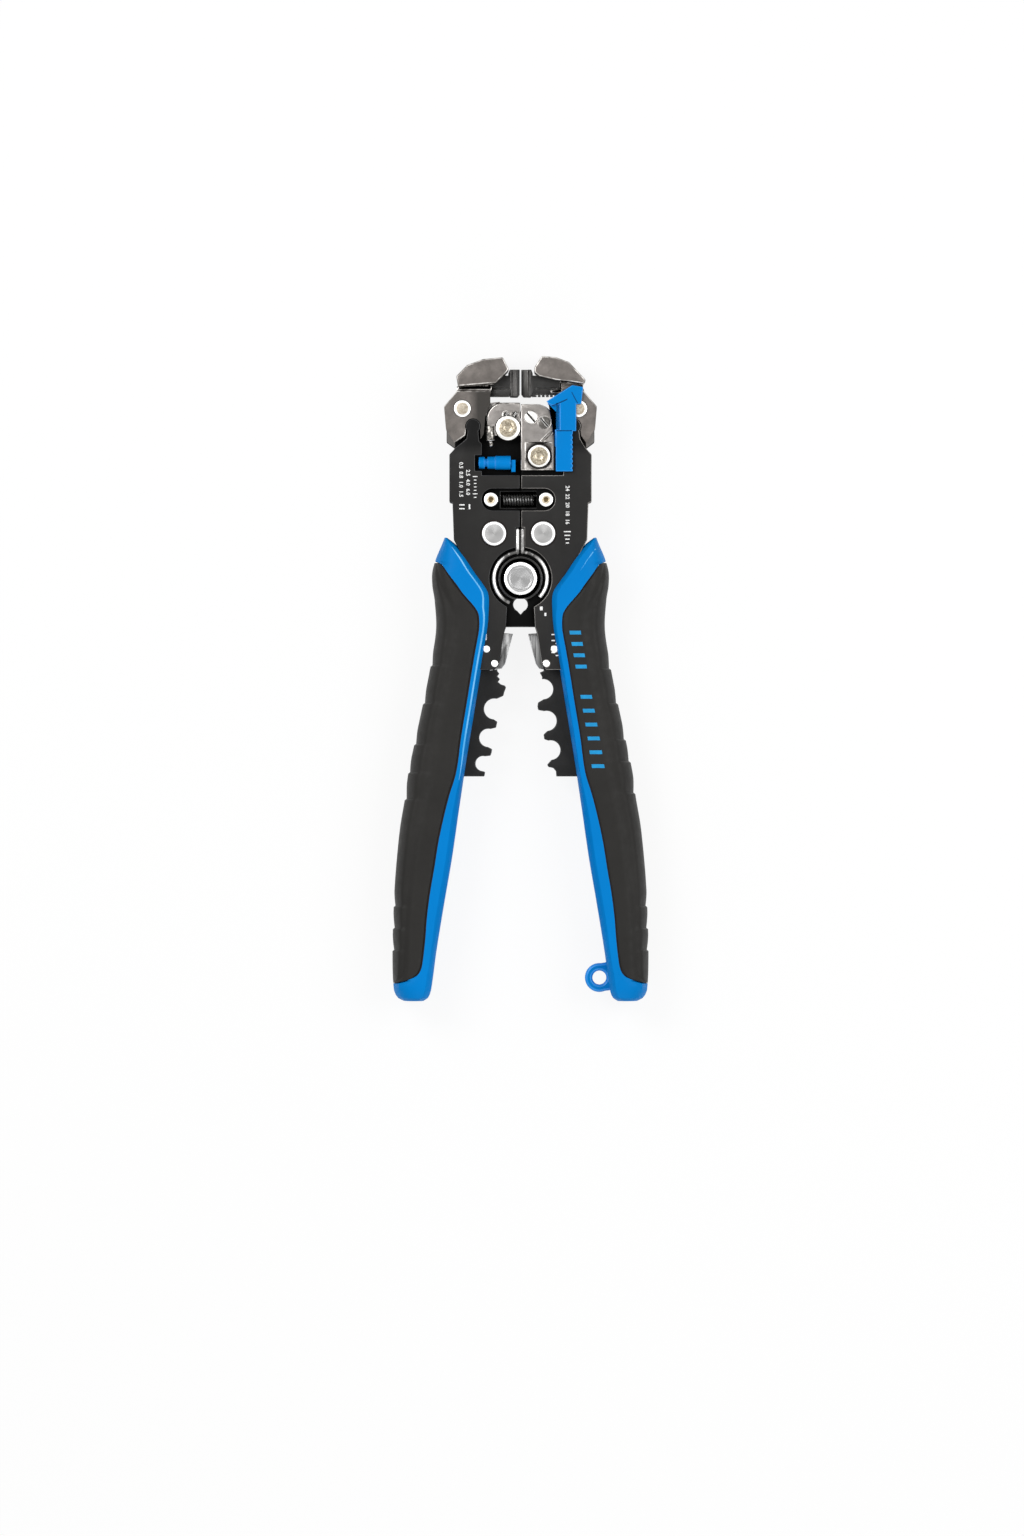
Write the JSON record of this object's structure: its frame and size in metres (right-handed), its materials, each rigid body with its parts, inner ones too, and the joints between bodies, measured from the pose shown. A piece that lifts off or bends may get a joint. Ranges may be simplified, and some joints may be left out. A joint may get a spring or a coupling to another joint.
{
  "type": "automatic wire stripper",
  "caption": "Self-adjusting wire stripper with gripping and stripping jaws on a spreading pivot, shear cutter, crimping dies and two curved insulated handles.",
  "frame": {"origin": "middle of the base of the tool lying on its back", "axes": "+Y towards the jaws, +Z from back to front, +X to the right"},
  "size_m": [0.0812, 0.205, 0.022],
  "materials": {
    "black_steel": "blackened satin steel",
    "dark_steel": "black phosphated steel",
    "jaw_steel": "sand-cast grey steel with bright edges",
    "pad_steel": "dark ribbed steel",
    "bright_steel": "turned bright steel",
    "nickel_brass": "nickelled brass",
    "blade_steel": "ground blade steel",
    "spring_steel": "drawn spring wire",
    "blue_plastic": "moulded blue plastic",
    "black_grip": "soft-touch black rubber"
  },
  "bodies": {
    "right_frame": {"right_cheek_front": "dark_steel", "right_cheek_back": "dark_steel", "right_lower_jaw": "jaw_steel", "right_jaw_screw": "nickel_brass", "right_lower_blade": "blade_steel", "right_set_screws": "nickel_brass", "right_spring_post": "nickel_brass", "right_jaw_pin": "bright_steel", "pivot_bolt": "bright_steel", "pivot_nut": "bright_steel", "pivot_washer_front": "dark_steel", "pivot_washer_back": "dark_steel"},
    "left_frame": {"left_cheek_front": "dark_steel", "left_cheek_back": "dark_steel", "left_lower_jaw": "jaw_steel", "left_jaw_screw": "nickel_brass", "left_lower_pad": "pad_steel", "gauge_pin": "bright_steel", "left_set_screws": "nickel_brass", "left_spring_post": "nickel_brass", "left_jaw_pin": "bright_steel", "tension_spring": "spring_steel", "adjuster_screw": "blue_plastic"},
    "adjuster": {"adjuster_knob": "blue_plastic"},
    "left_lever": {"left_plate_front": "black_steel", "left_plate_back": "black_steel", "left_core": "black_steel", "left_plate_rivet": "bright_steel", "left_blade": "blade_steel", "left_small_rivets": "bright_steel", "left_shell": "blue_plastic", "left_grip": "black_grip", "left_return_spring": "bright_steel"},
    "right_lever": {"right_plate_front": "black_steel", "right_plate_back": "black_steel", "right_core": "black_steel", "right_plate_rivet": "bright_steel", "right_blade": "blade_steel", "right_small_rivets": "bright_steel", "right_shell": "blue_plastic", "right_grip": "black_grip", "right_return_spring": "bright_steel", "lanyard_eye": "blue_plastic"},
    "left_jaw": {"left_upper_jaw": "jaw_steel", "left_upper_pad": "pad_steel"},
    "right_jaw": {"right_upper_jaw": "jaw_steel", "right_upper_blade": "pad_steel"},
    "stop": {"length_stop": "blue_plastic"}
  },
  "joints": [
    {"name": "strip_spread", "type": "hinge", "parent": "right_frame", "child": "left_frame", "pos_m": [0, 0.0318, 0.011], "axis": [0, 0, 1], "range_deg": [0, 18.6], "stiffness_Nm_per_rad": 0.5, "deforming": ["tension_spring"]},
    {"name": "left_squeeze", "type": "hinge", "parent": "left_frame", "child": "left_lever", "pos_m": [0, 0.0318, 0.011], "axis": [0, 0, 1], "range_deg": [0, 0.69], "stiffness_Nm_per_rad": 2},
    {"name": "right_squeeze", "type": "hinge", "parent": "right_frame", "child": "right_lever", "pos_m": [0, 0.0318, 0.011], "axis": [0, 0, 1], "range_deg": [-0.7, 0.01]},
    {"name": "left_jaw_close", "type": "hinge", "parent": "left_frame", "child": "left_jaw", "pos_m": [-0.0185, 0.0858, 0.011], "axis": [0, 0, 1], "range_deg": [-5.9, 0.1]},
    {"name": "right_jaw_close", "type": "hinge", "parent": "right_frame", "child": "right_jaw", "pos_m": [0.0185, 0.0858, 0.011], "axis": [0, 0, 1], "range_deg": [-0.1, 5.9]},
    {"name": "stop_slide", "type": "slide", "parent": "right_frame", "child": "stop", "axis": [0, 1, 0], "range_m": [-0.006, 0]},
    {"name": "adjuster_turn", "type": "hinge", "parent": "left_frame", "child": "adjuster", "pos_m": [-0.007, 0.0686, 0.018], "axis": [1, 0, 0], "continuous": true}
  ],
  "couplings": [
    {"joint": "right_squeeze", "follows": "left_squeeze", "ratio": -1},
    {"joint": "left_jaw_close", "follows": "left_squeeze", "ratio": -8.4},
    {"joint": "right_jaw_close", "follows": "left_squeeze", "ratio": 8.4}
  ]
}
